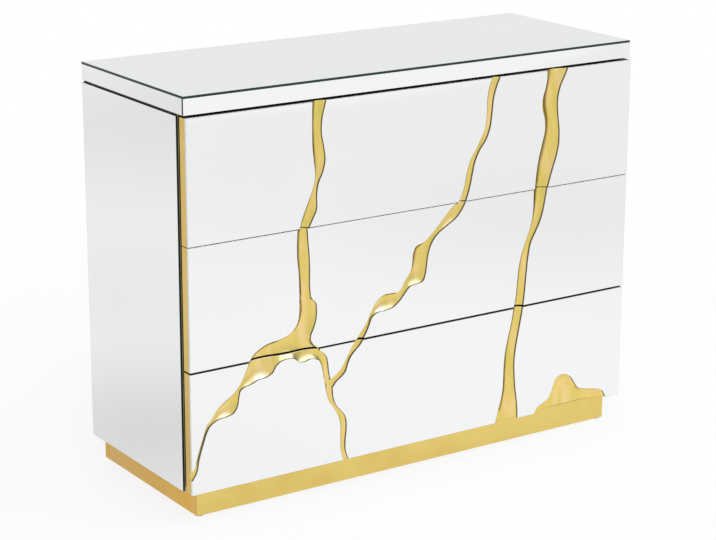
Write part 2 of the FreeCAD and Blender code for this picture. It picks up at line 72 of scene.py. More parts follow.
VEINS = {
    "top_drawer": (
        ((259, -4, 289, -4), (258.5, 12, 284.5, 12), (258.3, 32, 279.5, 32),
         (258.3, 58, 278.2, 58), (259, 84, 283, 84), (261.8, 108, 286, 108),
         (264.2, 130, 281, 130), (262, 150, 271.5, 150), (254.5, 170, 268, 170),
         (242, 198, 267, 200), (235.5, 214, 259, 215), (230, 234, 249, 234)),
        ((662, -4, 681, -4), (654, 13, 672.5, 13), (649.2, 36, 665, 36), (648.2, 66, 661.4, 66),
         (645, 93, 657.2, 95), (636, 112, 648.5, 116), (623.5, 133, 633, 136),
         (610.5, 154, 622.5, 158), (603.5, 176, 617.8, 178), (598.5, 200, 612.5, 202),
         (592, 218, 607.5, 218), (584, 234, 601.5, 234)),
        ((791, -4, 844, -4), (791.8, 12, 835.5, 13), (788.5, 31, 825, 33), (782, 53, 819.3, 58),
         (782.5, 74, 819.6, 76), (788.5, 95, 822, 96), (789, 118, 825.3, 122),
         (783.5, 140, 825, 146), (776.5, 167, 819.8, 170), (772, 193, 811.5, 194),
         (769.8, 214, 804.5, 216), (768.6, 234, 799.6, 234)),
    ),
    "middle_drawer": (
        ((227, -4, 247.3, -4), (225.3, 24, 249, 24), (225.6, 52, 251.7, 52),
         (228.6, 82, 252.6, 82), (229.7, 110, 252.8, 112), (229.8, 132, 256, 132),
         (229.8, 144, 265.5, 143), (229, 160, 267.3, 158), (224, 178, 265, 179),
         (211, 191, 259, 194), (190, 199, 254.5, 204), (166, 202, 254.3, 212),
         (146, 209, 258.5, 220), (131, 219, 265, 226.5), (120, 235, 276, 235)),
        ((592, -6, 604.5, -5), (575, 4, 601, 3), (560, 16, 594, 14.5), (547, 29.5, 580, 29),
         (534, 42, 561, 40), (521, 54, 542, 51), (506, 65, 528, 64.5), (487.5, 71, 520, 80),
         (481.6, 84, 515.8, 96), (480, 102, 513.6, 114), (476.3, 117, 511, 128),
         (470, 126, 506, 140), (462.5, 135, 491, 143.6), (456.5, 146, 477, 146),
         (449, 152, 464, 158), (434, 152.4, 453, 170), (417, 152.8, 438, 180),
         (403, 159.5, 419, 183.6), (393.5, 171, 400, 185.5), (386, 184, 390, 192),
         (377, 201, 383.5, 206), (364, 217, 375.5, 222), (352, 233, 366, 235)),
        ((766, -4, 800, -4), (766.4, 18, 795.8, 18), (765.9, 42, 791.2, 42),
         (762.5, 64, 784, 64), (755.5, 84, 773.5, 84), (747, 105, 762.2, 105),
         (739, 128, 757.4, 128), (733.3, 155, 754.3, 155), (730.7, 185, 751.9, 185),
         (728.5, 209, 749.8, 209), (723.5, 234, 747, 234)),
    ),
    "bottom_drawer": (
        ((274, -14, 274, 22), (257, -14, 256, 16), (241, -14, 241, 18.8), (228, -14, 230, 18),
         (215, -14, 217, 8.8), (199, -14, 204, 7), (179, -14, 190, 9.5), (156, -14, 180, 16),
         (136, -12, 172, 27.5), (123.5, -5, 158, 33.8), (119, 6, 141, 35.6),
         (113.5, 17, 126, 41), (108, 28, 113, 43.8), (99.5, 40.5, 104, 49), (89, 51, 100.6, 61),
         (77.5, 59, 97.8, 76), (66, 66, 90, 88), (56, 73.5, 75, 92.8), (48.5, 82.3, 60, 94.2),
         (42, 91.5, 48, 98.4), (34, 99, 39, 105), (28, 112.5, 32.5, 115.5),
         (22, 129, 26.5, 131.5), (15.5, 146.5, 20.5, 148.5), (10.3, 163, 15.4, 166),
         (6.3, 178, 11.8, 184), (-5, 187, -5, 210)),
        ((240, -14, 263, -14), (250, 0, 271, 0.5), (261, 12.5, 281, 8.5),
         (268.5, 18, 288.5, 17.5), (274.8, 27, 292, 32), (279, 41, 294, 50), (282, 57, 298, 66),
         (285, 72, 301.4, 80), (288.2, 90, 302.8, 97), (294, 106, 309, 115.5),
         (305, 122, 319.5, 128.5), (313.8, 137.5, 328.5, 139.5), (318.2, 151, 332.5, 152),
         (319.6, 168, 333.1, 168), (319.3, 188, 331, 188), (320, 207, 330.8, 208),
         (327.5, 235, 339.5, 235)),
        ((354, -5, 373, -5), (345.8, 6.5, 363.5, 8), (339, 17.8, 353, 17), (333, 28, 343.2, 27),
         (326.6, 38.5, 336, 40.5), (318, 49.4, 331, 54), (308.5, 56.5, 322.5, 62.5),
         (299.5, 63, 311, 70), (292, 70, 302.5, 80)),
        ((724, -4, 747.6, -4), (721, 17, 744, 17), (716, 40, 739.5, 40), (709.8, 64, 734.8, 64),
         (705.3, 88, 730.8, 88), (703.1, 110, 729, 110), (702.3, 136, 730, 136),
         (701.5, 158, 732, 158), (698, 180, 735.2, 180), (692.5, 200, 738.4, 200),
         (683, 234, 740, 234)),
        ((780, 240, 780, 262), (785, 223, 785, 262), (791, 215.5, 791, 262),
         (803, 210.3, 803, 262), (816, 203.5, 816, 262), (824, 191, 824, 262),
         (829, 177.5, 829, 262), (835, 164.5, 835, 262), (848, 158.5, 848, 262),
         (862, 161.2, 862, 262), (874, 168.8, 874, 262), (884, 183, 884, 262),
         (894, 194.6, 894, 262), (908, 199.7, 908, 262), (928, 203.6, 928, 262),
         (946, 207.8, 946, 262), (958, 214, 958, 262), (965, 225, 965, 262),
         (969, 240, 969, 262)),
    ),
}


# ---- sizes and colours to change
def length(name, description, default, low, high):
    """A length to change, given in millimetres."""
    return FloatProperty(
        name=name, description=description, default=default * MM, min=low * MM, max=high * MM,
        unit="LENGTH")


def tone(name, description, *colour):
    """A colour to change, given as linear light."""
    return FloatVectorProperty(
        name=name, description=description, subtype="COLOR", default=colour, min=0, max=1)


def turn(name, description, degrees):
    """An angle to change, given in degrees."""
    return FloatProperty(
        name=name, description=description, default=math.radians(degrees), subtype="ANGLE")


class ChestSizes(bpy.types.PropertyGroup):
    """Sizes of the dressed pieces."""

    arris: length("Arris", "Rounded edge of each mirror", 0.4, 0.1, 1.5)
    eased_edge: length("Eased edge", "Rounded edge of the gold boards", 0.9, 0.2, 3)
    board_edge: length("Board edge", "Rounded edge of the hidden boards", 0.8, 0.1, 2)
    metal_edge: length("Metal edge", "Rounded edge of the runners", 0.25, 0.05, 0.5)
    carving_step: length("Carving step", "Spacing of the points in the grooves", 0.85, 0.8, 4)
    groove_depth: length("Groove depth", "Depth that the widest grooves near", 14, 2, 15)
    groove_reach: length(
        "Groove reach", "Half width at which a groove nears its full depth", 12, 2, 30)
    groove_drift: FloatVectorProperty(
        name="Groove drift",
        description="How strongly the deepest line is carried to the left and up, per metre",
        default=(-15, 50), size=2, min=-140, max=140)
    undercut: length("Undercut", "How far a groove runs under the edge of the glass", 1, 0.2, 2)
    ripple: length("Ripple", "Height of the carver's waves in a groove", 0.6, 0, 2)
    bank_samples: IntProperty(
        name="Bank samples", description="Points between two stations of a bank", default=9,
        min=3, max=30)


class ChestColours(bpy.types.PropertyGroup):
    """Colours of the finishes."""

    gold: tone("Gold lacquer", "Gold of the veins and the plinth", 0.81, 0.61, 0.17)
    gold_deep: tone("Deep gold", "Warmer clouds in the gold lacquer", 0.78, 0.55, 0.145)
    # Gold for the ends of the fronts, darker and warmer than the faces' gold: painted shade of the
    # sides.
    gold_board_ends_shaded: tone("Shaded board ends", "Darker gold on the ends of the fronts, as painted shade", 0.74, 0.48, 0.11)
    # The plinth's ends: its gold made darker and warmer, as painted shade of the sides.
    gold_plinth_ends_shaded: tone("Shaded plinth gold", "Gold of the plinth's ends", 0.75, 0.44, 0.065)
    gold_olive: tone("Olive gold", "Greenest streaks in the veins", 0.76, 0.62, 0.14)
    gold_peach: tone("Peach gold", "Palest streaks in the veins", 0.94, 0.70, 0.29)
    # Gold darkened to an olive brown for the side boards' front edges: painted shade of the slot
    # behind the fronts.
    gold_side_edges_shaded: tone("Bronze", "Front edges of the side boards", 0.38, 0.34, 0.17)
    silver: tone("Mirror", "Silvering seen through clear glass", 0.925, 0.935, 0.93)
    glass_edge: tone("Glass edge", "Cut edge of the mirror glass", 0.018, 0.032, 0.030)
    birch: tone("Birch", "Drawer boxes", 0.62, 0.45, 0.27)
    stained: tone("Stained board", "Carcass boards, inside and back", 0.06, 0.048, 0.038)
    hardboard: tone("Hardboard", "Back panel", 0.23, 0.15, 0.09)
    zinc: tone("Zinc plate", "Runners and screws", 0.62, 0.63, 0.65)
    nylon: tone("Nylon", "Rebound units", 0.10, 0.105, 0.11)
    clear_nylon: tone("Clear nylon", "Glides", 0.76, 0.76, 0.62)


class ChestStage(bpy.types.PropertyGroup):
    """Camera, floor and even light."""

    camera_place: FloatVectorProperty(
        name="Camera", description="Where the camera stands", subtype="TRANSLATION",
        default=(-2.2729, -3.3561, 1.5388))
    camera_yaw: turn("Yaw", "Turn from the back of the chest to the right", 33.96)
    camera_pitch: turn("Pitch", "Look down from level", 16.326)
    camera_roll: turn("Roll", "Tilt about the line of sight", 0.238)
    lens: FloatProperty(
        name="Lens", description="Focal length on a 36 mm wide sensor, in millimetres",
        default=108.73, min=10)
    floor_size: FloatProperty(
        name="Floor", description="Side of the floor", default=60.0, unit="LENGTH")
    ambient: FloatProperty(
        name="Ambient", description="Strength of the even light from all round", default=0.62)
    sky: tone("Sky", "What mirrors show above the horizon", 0.84, 0.855, 0.85)


# ---- surfaces
def placed(name, data):
    """A new object with this data, in the scene."""
    made = bpy.data.objects.new(name, data)
    bpy.context.scene.collection.objects.link(made)
    return made


def surface_object(name, vertices, faces, smooth=True):
    """A mesh object from an array of corners and lists of face corners."""
    mesh = bpy.data.meshes.new(name)
    mesh.from_pydata(np.asarray(vertices).tolist(), [], [list(face) for face in faces])
    mesh.update()
    mesh.polygons.foreach_set("use_smooth", np.full(len(mesh.polygons), smooth))
    return placed(name, mesh)


def grid_faces(rows, columns, closed=False, start=0):
    """Quads between neighbours of a grid of points, with each row closed to a ring if told."""
    row = np.arange(rows - 1)[:, None] * columns + start
    column = np.arange(columns if closed else columns - 1)[None, :]
    after = (column + 1) % columns
    quads = [row + column, row + after, row + columns + after, row + columns + column]
    return np.stack(quads, axis=-1).reshape(-1, 4)


def merged(vertices, quads, grain=1e-7):
    """The same faces on one copy of each corner, for patches that share their edges."""
    keys = np.round(vertices / grain).astype(np.int64)
    _, first, where = np.unique(keys, axis=0, return_index=True, return_inverse=True)
    return vertices[first], where.reshape(-1)[quads]


def eased_block(name, low, high, radius, steps=3):
    """A block with rounded edges and corners.

    Each face is a grid whose outer lines lie at radius * tan(angle) past the flat part. A point
    of the block's skin is pulled to the flat part's nearest point, and set off from it by the
    radius in the direction it was pulled from.
    """
    low, high = np.array(low, float), np.array(high, float)
    ease = radius * np.tan(np.linspace(0, math.pi / 4, steps + 1))
    lines = [
        np.concatenate([near + radius - ease[::-1], far - radius + ease])
        for near, far in zip(low, high)
    ]
    patches, quads = [], []
    for axis in range(3):
        across, up = (axis + 1) % 3, (axis + 2) % 3
        for corner in (low, high):
            grid = np.empty((len(lines[across]), len(lines[up]), 3))
            grid[..., axis] = corner[axis]
            grid[..., across] = lines[across][:, None]
            grid[..., up] = lines[up]
            faces = grid_faces(*grid.shape[:2], start=sum(map(len, patches)))
            quads.append(faces if corner is low else faces[:, ::-1])
            patches.append(grid.reshape(-1, 3))
    skin = np.concatenate(patches)
    core = np.clip(skin, low + radius, high - radius)
    pull = skin - core
    skin = core + radius * pull / np.linalg.norm(pull, axis=1, keepdims=True)
    vertices, faces = merged(skin, np.concatenate(quads))
    return surface_object(name, vertices, faces)


def lathe(name, profile, centre, around=48):
    """A turned piece: a profile of (radius, height) carried round the vertical through centre.

    The first and last points of the profile lie on the axis, where the ring closes to a point.
    """
    radius, height = profile[1:-1, :1], profile[1:-1, 1:]
    angle = np.linspace(0, 2 * math.pi, around, endpoint=False)
    shell = np.stack(np.broadcast_arrays(
        radius * np.cos(angle), radius * np.sin(angle), height), axis=-1).reshape(-1, 3)
    foot, head = np.full((2, around), len(shell)) + [[0], [1]]
    walk = np.arange(around)
    after = (walk + 1) % around
    top = len(shell) - around
    faces = [
        *grid_faces(len(radius), around, closed=True), *np.transpose([foot, after, walk]),
        *np.transpose([head, top + walk, top + after]),
    ]
    poles = [(0, 0, profile[0, 1]), (0, 0, profile[-1, 1])]
    return surface_object(name, np.concatenate([shell, poles]) + centre, faces)


def applied(piece):
    """The piece with its modifiers' result as its mesh."""
    graph = bpy.context.evaluated_depsgraph_get()
    result = bpy.data.meshes.new_from_object(piece.evaluated_get(graph))
    piece.modifiers.clear()
    piece.data = result
    return piece


def rounded(piece, width, **settings):
    """The piece with its edges rounded in two steps, where the bevel's settings say."""
    bevel = piece.modifiers.new("arris", "BEVEL")
    bevel.width = width
    bevel.segments = 2
    for name, value in settings.items():
        setattr(bevel, name, value)
    return applied(piece)


def read_out(items, attribute, kind=np.float32):
    """An attribute with three values of each item of a mesh, as one row for each."""
    values = np.empty(len(items) * 3, kind)
    items.foreach_get(attribute, values)
    return values.reshape(-1, 3)


# Shares of a face's normal along an axis, past which the face counts as looking that way: flat
# faces alone, those and the first band of a rounding, half of the rounding, and all of it.
FLAT = 0.999
NEARLY_FLAT = 0.9
HALF_ROUND = 0.7
WHOLE_ROUND = 0.3


def normals_of(piece):
    """The normal of each of a piece's faces."""
    return read_out(piece.data.polygons, "normal")


def set_slots(piece, slots, smooth=None):
    """Give each face its material slot and, where it is told, its smooth shading."""
    polygons = piece.data.polygons
    polygons.foreach_set("material_index", np.asarray(slots, np.int32))
    if smooth is not None:
        polygons.foreach_set("use_smooth", smooth)
    piece.data.update()


def outward(piece):
    """The closed piece with its faces turned outwards, told by the sign of its volume."""
    mesh = piece.data
    mesh.calc_loop_triangles()
    corners = read_out(mesh.loop_triangles, "vertices", np.int32)
    a, b, c = read_out(mesh.vertices, "co")[corners].transpose(1, 0, 2)
    if (np.cross(a, b) * c).sum() < 0:
        mesh.flip_normals()
    return piece


# ---- finishes
# The range in which most of a noise lies.
NOISE_LOW, NOISE_HIGH = 0.3, 0.7


class Nodes:
    """A node tree under construction."""

    def __init__(self, tree):
        self.tree = tree

    def node(self, kind, inputs, **settings):
        """A new node with these settings, and with these of its inputs fed."""
        made = self.tree.nodes.new("ShaderNode" + kind)
        for name, value in settings.items():
            setattr(made, name, value)
        for name, value in inputs.items():
            self.feed(made.inputs[name], value)
        return made

    def feed(self, socket, value):
        """Link a socket to an output, or give it a number, a vector or a colour."""
        if isinstance(value, bpy.types.NodeSocket):
            self.tree.links.new(value, socket)
        else:
            socket.default_value = (*value, 1.0) if socket.type == "RGBA" else value

    def worked_out(self, operation, first, second):
        """The result of a Math operation on two outputs."""
        return self.node("Math", {0: first, 1: second}, operation=operation).outputs["Value"]

    def mixed(self, factor, first, second, kind="RGBA"):
        """The first where the factor is 0, and the second where it is 1."""
        socket, output = {"FLOAT": (2, 0), "RGBA": (6, 2)}[kind]
        inputs = {0: factor, socket: first, socket + 1: second}
        return self.node("Mix", inputs, data_type=kind).outputs[output]


class Finish(Nodes):
    """A material under construction, with the patterns that drive its shader."""

    def __init__(self, name, sockets):
        self.material = bpy.data.materials.new(name)
        self.material.use_nodes = True
        super().__init__(self.material.node_tree)
        self.shader = self.tree.nodes["Principled BSDF"]
        self.place = self.node("TexCoord", {}).outputs["Object"]
        for socket, value in sockets.items():
            label = socket.replace("_", " ").title().replace("Ior", "IOR")
            self.feed(self.shader.inputs[label], value)

    def noise(self, scale, detail=3.0, stretch=(1, 1, 1), wander=0.0, rough=0.5):
        """Noise over object coordinates that are pressed together by stretch along each axis."""
        place = self.node("Mapping", {"Scale": stretch, "Vector": self.place})
        return self.node("TexNoise", {
            "Scale": scale, "Detail": detail, "Roughness": rough, "Distortion": wander,
            "Vector": place.outputs["Vector"],
        }).outputs["Fac"]


def shades(colour, *factors):
    """A colour made lighter or darker by each factor."""
    return [tuple(min(1.0, channel * factor) for channel in colour) for factor in factors]


def along(axis, press):
    """A stretch that draws a pattern out along one axis."""
    return tuple(press if number == axis else 1.0 for number in range(3))


def patterned(name, tones, clouds, sheen=(), dents=(), stops=(NOISE_LOW, NOISE_HIGH), **sockets):
    """A finish with clouds or specks of its tones, an uneven sheen and fine dents.

    Clouds are a noise's settings, and stops are where on it each tone lies. Sheen is the least
    and the greatest roughness, and a noise's settings. Dents are layers from the lowest up, each
    of a depth in metres and a noise's settings.
    """
    finish = Finish(name, sockets)
    ramp = finish.node("ValToRGB", {"Fac": finish.noise(*clouds)})
    elements = ramp.color_ramp.elements
    while len(elements) < len(stops):
        elements.new(0.5)
    for element, stop, colour in zip(elements, stops, tones):
        element.position = stop
        element.color = (*colour, 1.0)
    fed = {"Base Color": ramp.outputs["Color"]}
    if sheen:
        low, high, *settings = sheen
        fed["Roughness"] = finish.node("MapRange", {
            "From Min": NOISE_LOW, "From Max": NOISE_HIGH, "To Min": low, "To Max": high,
            "Value": finish.noise(*settings),
        }).outputs["Result"]
    below = {}
    for depth, *settings in dents:
        height = finish.noise(*settings)
        layer = finish.node("Bump", {"Distance": depth, "Height": height, **below})
        below = {"Normal": layer.outputs["Normal"]}
    for socket, output in {**fed, **below}.items():
        finish.feed(finish.shader.inputs[socket], output)
    return finish.material


def gold_lacquer(name, tones, brushed=(0.1, 0.1, 1.0), cloud=9.0, drawn=(1, 1, 1)):
    """Satin gold lacquer: soft clouds of its tones, and faint brush marks along the surface."""
    return patterned(
        name, tones, (cloud, 2.0, drawn, 0.4), (0.2, 0.28, 60.0, 4.0, brushed),
        ((0.00002, 260.0, 2.0, brushed), (0.0002, 30.0, 1.0)), (NOISE_LOW, 0.5, NOISE_HIGH),
        metallic=1.0, coat_weight=0.25, coat_roughness=0.14)


def birch(name, wood, axis):
    """Lacquered birch: long grain along one axis, darker pores and a little figure."""
    grain = (70.0, 5.0, along(axis, 0.06), 0.4, 0.62)
    pores = (520.0, 2.0, along(axis, 0.06))
    return patterned(
        name, shades(wood, 0.72, 1, 1.18), grain, (0.36, 0.52, *pores),
        ((0.00006, *pores), (0.0001, *grain)), (0.28, 0.48, 0.72),
        coat_weight=0.12, coat_roughness=0.25)


def zinc_plate(name, zinc, axis):
    """Rolled steel with bright zinc: drawn lines along one axis and faint spangle."""
    stretch = along(axis, 0.03)
    return patterned(
        name, shades(zinc, 0.88, 1.08), (90.0, 4.0, (1, 1, 1), 0.8),
        (0.22, 0.4, 300.0, 3.0, stretch), [(0.00003, 500.0, 3.0, stretch)], (0.35, 0.65),
        metallic=1.0)


def fibreboard(name, board):
    """Sealed fibreboard: fine speckle and a dull sheen."""
    return patterned(
        name, shades(board, 0.75, 1.3), (340.0, 4.0), (0.5, 0.66, 90.0),
        [(0.00006, 700.0)], (0.32, 0.68), specular_ior_level=0.4)


def new_finish(key):
    """The finish of this key, made from the colours that are set."""
    colours = bpy.context.scene.chest_colours
    return {
        "carved gold": lambda: gold_lacquer(
            "gold lacquer on the fronts",
            (colours.gold_olive, *shades(colours.gold, 1.06), colours.gold_peach),
            brushed=(1.0, 1.0, 0.1), cloud=45.0, drawn=(1.0, 1.0, 0.2)),
        "plinth gold": lambda: gold_lacquer(
            "gold lacquer on the plinth", (colours.gold_deep, *shades(colours.gold, 1, 1.03))),
        # The plinth's ends, in gold darkened as painted shade.
        "shaded plinth end gold": lambda: gold_lacquer(
            "gold lacquer on the plinth ends, painted shade", shades(colours.gold_plinth_ends_shaded, 0.96, 1, 1.04)),
        # The ends of the fronts, in gold darkened as painted shade.
        "shaded board end gold": lambda: gold_lacquer(
            "gold lacquer on the ends of the fronts, painted shade",
            (*shades(colours.gold_board_ends_shaded, 1, 1.02), colours.gold_deep)),
        # The side boards' front edges, in gold darkened as painted shade.
        "shaded gold edge": lambda: gold_lacquer(
            "gold lacquer on the board edges, painted shade", shades(colours.gold_side_edges_shaded, 0.9, 1, 1.1)),
        # Silvering behind clear float glass, with the faintest haze and wave.
        "silver": lambda: patterned(
            "mirror silver", shades(colours.silver, 0.985, 1), (3.2, 5.0, (1, 1, 1), 0.0, 0.6),
            (0.008, 0.03, 14.0, 6.0), metallic=1.0, coat_weight=0.4, coat_roughness=0.01,
            coat_ior=1.52),
        # Ground green float glass, dark with the silvering behind it.
        "cut edge": lambda: patterned(
            "ground glass edge", shades(colours.glass_edge, 0.7, 1.4), (180.0,),
            (0.3, 0.45, 600.0), specular_ior_level=0.25),
        # Cut glass along a vein: dark, with an olive tint that is a painted reflection of the gold
        # under it.
        "vein edge": lambda: patterned(
            "glass edge at the veins", ((0.12, 0.105, 0.055), (0.19, 0.17, 0.10)), (150.0,),
            (0.22, 0.4, 600.0), specular_ior_level=0.5),
        # The polished outer edge of a pane, pale green-white: a painted highlight on the glass
        # edge.
        "pale edge, painted highlight": lambda: patterned(
            "polished pane edge, painted highlight", ((0.80, 0.85, 0.79), (0.88, 0.92, 0.86)), (120.0,),
            (0.25, 0.4, 500.0), specular_ior_level=0.5),
        # Grey protective paint on the back of the silvering.
        "backing": lambda: patterned(
            "mirror backing paint", ((0.16, 0.17, 0.17), (0.24, 0.25, 0.25)), (40.0, 4.0),
            dents=[(0.00005, 900.0, 2.0)], roughness=0.6),
        "birch along x": lambda: birch("birch, grain along the width", colours.birch, 0),
        "birch along y": lambda: birch("birch, grain along the depth", colours.birch, 1),
        "stained": lambda: fibreboard("stained board", colours.stained),
        "hardboard": lambda: fibreboard("hardboard", colours.hardboard),
        "zinc runner": lambda: zinc_plate("zinc-plated runner", colours.zinc, 1),
        "zinc screw": lambda: zinc_plate("zinc-plated screw", colours.zinc, 2),
        # Grey nylon with a fine spark-eroded grain.
        "nylon": lambda: patterned(
            "moulded nylon", shades(colours.nylon, 0.85, 1.2), (60.0,), (0.42, 0.56, 200.0),
            [(0.00004, 1500.0, 2.0)]),
        # Milky clear nylon.
        "clear nylon": lambda: patterned(
            "clear nylon", shades(colours.clear_nylon, 0.94, 1), (150.0,), (0.18, 0.3, 300.0),
            subsurface_weight=0.2, ior=1.5),
    }[key]()


FINISHES = {}


def dress(piece, *keys):
    """Give a piece its finishes, each made once, in the order of its material slots."""
    piece.data.materials.clear()
    for key in keys:
        if key not in FINISHES:
            FINISHES[key] = new_finish(key)
        piece.data.materials.append(FINISHES[key])


def carried(node, key):
    """Give a node of the frame, whose shape is right, its finish."""
    dress(NODES[node], key)


def stand_in(piece, body, slot, *nodes):
    """Make a new piece ride on its body, in the place of these nodes."""
    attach(piece, body)
    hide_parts(*nodes)


# What eased_copy rounds: edges at least this long, whose faces turn by more than this. Faces
# that turn by less than the last angle are joined first.
LONG_EDGE = 12 * MM
SHARP_TURN = math.radians(30)
FLAT_TURN = math.radians(1)


def eased_copy(node, body, slot, key, radius):
    """A copy of a node with its long, sharp edges rounded, in the node's place."""
    work = bmesh.new()
    work.from_mesh(NODES[node].data)
    bmesh.ops.remove_doubles(work, verts=work.verts, dist=0.001 * MM)
    bmesh.ops.dissolve_limit(work, angle_limit=FLAT_TURN, verts=work.verts, edges=work.edges)
    weight = work.edges.layers.float.new("bevel_weight_edge")
    for edge in work.edges:
        long = edge.is_manifold and edge.calc_length() > LONG_EDGE
        edge[weight] = 1.0 if long and edge.calc_face_angle() > SHARP_TURN else 0.0
    mesh = bpy.data.meshes.new(node + "_eased")
    work.to_mesh(mesh)
    work.free()
    mesh.polygons.foreach_set("use_smooth", np.zeros(len(mesh.polygons), bool))
    piece = rounded(placed(node + "_eased", mesh), radius, limit_method="WEIGHT")
    dress(piece, key)
    stand_in(piece, body, slot, node)
    return piece


# ---- carved fronts
# Cells along a side of a block of the carving's grid.
CARVED_BLOCK = 8
# Steps in which a ring is walked, as a share of a cell.
WALKING_STEP = 0.1
# Cells between the points on which the membrane is settled in turn, the rounds on each, and how
# much harder the glue pulls than the neighbours.
STRIDES = (8, 4, 2, 1)
SETTLING_ROUNDS = 160
GLUE = 3
# The carver's waves: height, millimetres across and up in which each sine goes on by one
# radian, and where it starts.
WAVES = (
    (1.0, 17.0, 23.0, 0.0), (0.8, -41.0, 13.0, 1.3), (0.6, 7.3, -19.0, 0.4), (0.5, 29.0, 8.1, 2.2),
)


def bank_line(points, samples):
    """A smooth line through a bank's points.

    Between two points it is a cubic whose end directions are the mean of the neighbouring
    chords' directions, each weighted by the other chord's length.
    """
    step = np.diff(points, axis=0)
    chord = np.linalg.norm(step, axis=1, keepdims=True)
    slope = step / chord
    inner = (slope[:-1] * chord[1:] + slope[1:] * chord[:-1]) / (chord[:-1] + chord[1:])
    tangent = np.concatenate([slope[:1], inner, slope[-1:]])
    part = np.linspace(0, 1, samples, endpoint=False)[None, :, None]
    start, end = points[:-1, None], points[1:, None]
    leave, arrive = tangent[:-1, None] * chord[:, None], tangent[1:, None] * chord[:, None]
    line = (
        (2 * part**3 - 3 * part**2 + 1) * start + (part**3 - 2 * part**2 + part) * leave
        + (3 * part**2 - 2 * part**3) * end + (part**3 - part**2) * arrive
    )
    return np.concatenate([line.reshape(-1, 2), points[-1:]])


def vein_ring(stations, front, samples):
    """A vein's outline on a drawer front, as a ring of (x, z)."""
    low, high = front
    scale = ((high.x - low.x) / TEMPLATE_COLUMNS, (low.z - high.z) / TEMPLATE_ROWS)
    banks = np.array(stations, float).reshape(-1, 2, 2) * scale + (low.x, high.z)
    left, right = (bank_line(banks[:, side], samples) for side in (0, 1))
    return np.concatenate([left, right[::-1]])


def edge_distance(across, level, ring, limit):
    """Signed distance of each point of a grid from a ring, positive inside it.

    The ring is walked in short equal steps, and each place offers its distance to the points
    of the grid round it. Inside is where a line from the left has crossed the ring an odd
    number of times. Distances stop at the limit.
    """
    step, rise = across[1] - across[0], level[1] - level[0]
    start, end = ring, np.roll(ring, -1, axis=0)
    near = np.full((len(level), len(across)), limit)
    walked = np.concatenate([[0], np.cumsum(np.linalg.norm(end - start, axis=1))])
    stops = np.arange(0, walked[-1], WALKING_STEP * step)
    closed = np.concatenate([ring, ring[:1]])
    x, z = (np.interp(stops, walked, closed[:, axis]) for axis in (0, 1))
    window = np.arange(-int(limit / step) - 1, int(limit / step) + 2)
    column = np.round((x - across[0]) / step).astype(int)
    row = np.round((z - level[0]) / rise).astype(int)
    columns, rows, places = np.broadcast_arrays(
        column[:, None, None] + window, row[:, None, None] + window[:, None],
        np.arange(len(stops))[:, None, None])
    on_grid = (columns >= 0) & (columns < len(across)) & (rows >= 0) & (rows < len(level))
    columns, rows, places = columns[on_grid], rows[on_grid], places[on_grid]
    reach = np.hypot(across[columns] - x[places], level[rows] - z[places])
    np.minimum.at(near, (rows, columns), reach)

    spans = (start[:, 1] > level[:, None]) != (end[:, 1] > level[:, None])
    at_row, side = np.nonzero(spans)
    share = (level[at_row] - start[side, 1]) / (end[side, 1] - start[side, 1])
    crossing = start[side, 0] + share * (end[side, 0] - start[side, 0])
    first_right = np.clip(np.ceil((crossing - across[0]) / step), 0, len(across)).astype(int)
    flips = np.zeros((len(level), len(across) + 1), int)
    np.add.at(flips, (at_row, first_right), 1)
    inside = np.cumsum(flips, axis=1)[:, :-1] % 2 == 1
    return np.where(inside, near, -near)


def sprung_membrane(share, step, reach, drift):
    """Rise, from 0 to 1, of a membrane on springs that is stuck down outside the grooves.

    It rests where a weighted mean of the four neighbours, with the springs' pull towards 1,
    balances the glue's pull towards 0: share is 1 where it is free and 0 where it is stuck. Over
    a wide groove it rises within about one reach and levels out, and over a narrow one it is a
    low arch. The drift, per metre to the left and up, makes the neighbours behind it count for
    more, so that the arch is steep ahead and long behind. It is settled on every 8th point
    first, then on every 4th, 2nd and on all.
    """
    rise = np.zeros(share[::2 * STRIDES[0], ::2 * STRIDES[0]].shape)
    left, up = drift
    for stride in STRIDES:
        held = share[::stride, ::stride]
        rows, columns = held.shape
        pull = (stride * step / reach) ** 2 / 4
        weight = 1 / (1 + pull + GLUE * (1 - held))
        from_right, from_below = (1 + left * stride * step) / 4, (1 + up * stride * step) / 4
        from_left, from_above = 0.5 - from_right, 0.5 - from_below
        sheet = np.zeros((rows + 2, columns + 2))
        sheet[1:-1, 1:-1] = rise.repeat(2, axis=0).repeat(2, axis=1)[:rows, :columns]
        for _ in range(SETTLING_ROUNDS):
            sheet[0], sheet[-1] = sheet[1], sheet[-2]
            sheet[:, 0], sheet[:, -1] = sheet[:, 1], sheet[:, -2]
            mean = (
                from_below * sheet[:-2, 1:-1] + from_above * sheet[2:, 1:-1]
                + from_left * sheet[1:-1, :-2] + from_right * sheet[1:-1, 2:]
            )
            sheet[1:-1, 1:-1] = (mean + pull * held) * weight
        rise = sheet[1:-1, 1:-1]
    return rise


def carver_waves(across, level):
    """Soft waves that cross the grooves at a slant: a sum of sines, over their heights' sum."""
    x, z = np.meshgrid(across / MM, level / MM)
    waves = [height * np.sin(x / long + z / tall + start) for height, long, tall, start in WAVES]
    return sum(waves) / sum(wave[0] for wave in WAVES)


def carved_share(across, level, rings, sizes):
    """Share of each cell of a front's grid that lies in a groove, undercut included."""
    step = across[1] - across[0]
    # A cell whose middle lies further off than this is wholly in or out.
    limit = sizes.undercut + 1.5 * step
    inside = np.full((len(level), len(across)), -limit)
    for ring in rings:
        inside = np.maximum(inside, edge_distance(across, level, ring, limit))
    return np.clip(0.5 + (inside + sizes.undercut) / step, 0, 1)


